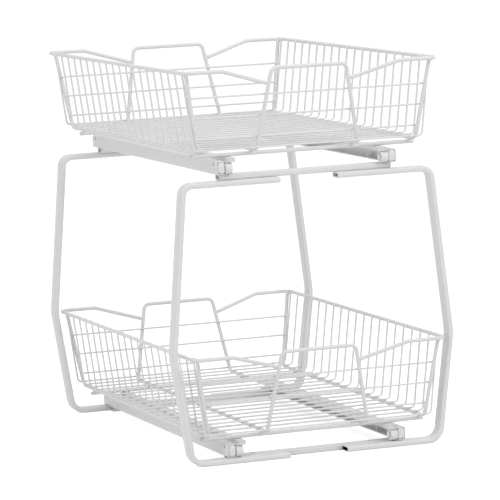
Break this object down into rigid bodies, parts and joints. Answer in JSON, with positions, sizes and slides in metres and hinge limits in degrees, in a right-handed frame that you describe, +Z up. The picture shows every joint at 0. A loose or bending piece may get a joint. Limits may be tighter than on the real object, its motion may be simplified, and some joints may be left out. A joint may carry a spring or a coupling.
{
  "type": "pull_out_cabinet_basket",
  "caption": "Two-tier pull-out cabinet organiser: wire baskets with handle loops slide on roller rails between two hoops of white powder-coated flat oval tube.",
  "frame": {"origin": "bottom centre of the whole object's box, on the floor it stands on", "axes": "+Z up; the baskets pull out towards -Y; +X is to the right of a person facing the handles"},
  "size_m": [0.3574, 0.5118, 0.4659],
  "materials": {
    "white_powder_coat": "satin",
    "white_slide_steel": "satin",
    "white_nylon": "matte",
    "plated_steel": "brushed"
  },
  "bodies": {
    "frame": {"back_left_leg": "white_powder_coat", "back_right_leg": "white_powder_coat", "front_left_leg": "white_powder_coat", "front_right_leg": "white_powder_coat", "lower_back_crossbar": "white_powder_coat", "lower_front_crossbar": "white_powder_coat", "lower_left_front_pin": "plated_steel", "lower_left_rail": "white_slide_steel", "lower_right_front_pin": "plated_steel", "lower_right_rail": "white_slide_steel", "upper_back_crossbar": "white_powder_coat", "upper_front_crossbar": "white_powder_coat", "upper_left_front_pin": "plated_steel", "upper_left_rail": "white_slide_steel", "upper_right_front_pin": "plated_steel", "upper_right_rail": "white_slide_steel"},
    "lower_basket": {"lower_back_bottom_bar": "white_powder_coat", "lower_back_wall_wires": "white_powder_coat", "lower_cross_wires": "white_powder_coat", "lower_front_bottom_bar": "white_powder_coat", "lower_front_wall_wires": "white_powder_coat", "lower_handle_loop": "white_powder_coat", "lower_left_rear_pin": "plated_steel", "lower_left_rim": "white_powder_coat", "lower_left_runner": "white_slide_steel", "lower_left_side_frame": "white_powder_coat", "lower_right_rear_pin": "plated_steel", "lower_right_rim": "white_powder_coat", "lower_right_runner": "white_slide_steel", "lower_right_side_frame": "white_powder_coat"},
    "upper_basket": {"upper_back_bottom_bar": "white_powder_coat", "upper_back_wall_wires": "white_powder_coat", "upper_cross_wires": "white_powder_coat", "upper_front_bottom_bar": "white_powder_coat", "upper_front_wall_wires": "white_powder_coat", "upper_handle_loop": "white_powder_coat", "upper_left_rear_pin": "plated_steel", "upper_left_rim": "white_powder_coat", "upper_left_runner": "white_slide_steel", "upper_left_side_frame": "white_powder_coat", "upper_right_rear_pin": "plated_steel", "upper_right_rim": "white_powder_coat", "upper_right_runner": "white_slide_steel", "upper_right_side_frame": "white_powder_coat"},
    "lower_left_front_roller_body": {"lower_left_front_roller": "white_nylon"},
    "lower_left_rear_roller_body": {"lower_left_rear_roller": "white_nylon"},
    "lower_right_front_roller_body": {"lower_right_front_roller": "white_nylon"},
    "lower_right_rear_roller_body": {"lower_right_rear_roller": "white_nylon"},
    "upper_left_front_roller_body": {"upper_left_front_roller": "white_nylon"},
    "upper_left_rear_roller_body": {"upper_left_rear_roller": "white_nylon"},
    "upper_right_front_roller_body": {"upper_right_front_roller": "white_nylon"},
    "upper_right_rear_roller_body": {"upper_right_rear_roller": "white_nylon"}
  },
  "joints": [
    {"name": "lower_basket_slide", "type": "slide", "parent": "frame", "child": "lower_basket", "axis": [0, -1, 0], "range_m": [0, 0.35]},
    {"name": "upper_basket_slide", "type": "slide", "parent": "frame", "child": "upper_basket", "axis": [0, -1, 0], "range_m": [0, 0.35]},
    {"name": "lower_left_front_roller_turn", "type": "hinge", "parent": "frame", "child": "lower_left_front_roller_body", "pos_m": [-0.09865, -0.2241, 0.0142], "axis": [1, 0, 0], "range_deg": [-2, 2867]},
    {"name": "lower_left_rear_roller_turn", "type": "hinge", "parent": "lower_basket", "child": "lower_left_rear_roller_body", "pos_m": [-0.1076, 0.194, 0.0149], "axis": [1, 0, 0], "range_deg": [-2, 3041]},
    {"name": "lower_right_front_roller_turn", "type": "hinge", "parent": "frame", "child": "lower_right_front_roller_body", "pos_m": [0.09865, -0.2241, 0.0142], "axis": [1, 0, 0], "range_deg": [-2, 2867]},
    {"name": "lower_right_rear_roller_turn", "type": "hinge", "parent": "lower_basket", "child": "lower_right_rear_roller_body", "pos_m": [0.1076, 0.194, 0.0149], "axis": [1, 0, 0], "range_deg": [-2, 3041]},
    {"name": "upper_left_front_roller_turn", "type": "hinge", "parent": "frame", "child": "upper_left_front_roller_body", "pos_m": [-0.09865, -0.2241, 0.3482], "axis": [1, 0, 0], "range_deg": [-2, 2867]},
    {"name": "upper_left_rear_roller_turn", "type": "hinge", "parent": "upper_basket", "child": "upper_left_rear_roller_body", "pos_m": [-0.1076, 0.194, 0.3489], "axis": [1, 0, 0], "range_deg": [-2, 3041]},
    {"name": "upper_right_front_roller_turn", "type": "hinge", "parent": "frame", "child": "upper_right_front_roller_body", "pos_m": [0.09865, -0.2241, 0.3482], "axis": [1, 0, 0], "range_deg": [-2, 2867]},
    {"name": "upper_right_rear_roller_turn", "type": "hinge", "parent": "upper_basket", "child": "upper_right_rear_roller_body", "pos_m": [0.1076, 0.194, 0.3489], "axis": [1, 0, 0], "range_deg": [-2, 3041]}
  ],
  "couplings": [
    {"joint": "lower_left_front_roller_turn", "follows": "lower_basket_slide", "rad_per_m": 142.86},
    {"joint": "lower_left_rear_roller_turn", "follows": "lower_basket_slide", "rad_per_m": 151.52},
    {"joint": "lower_right_front_roller_turn", "follows": "lower_basket_slide", "rad_per_m": 142.86},
    {"joint": "lower_right_rear_roller_turn", "follows": "lower_basket_slide", "rad_per_m": 151.52},
    {"joint": "upper_left_front_roller_turn", "follows": "upper_basket_slide", "rad_per_m": 142.86},
    {"joint": "upper_left_rear_roller_turn", "follows": "upper_basket_slide", "rad_per_m": 151.52},
    {"joint": "upper_right_front_roller_turn", "follows": "upper_basket_slide", "rad_per_m": 142.86},
    {"joint": "upper_right_rear_roller_turn", "follows": "upper_basket_slide", "rad_per_m": 151.52}
  ]
}
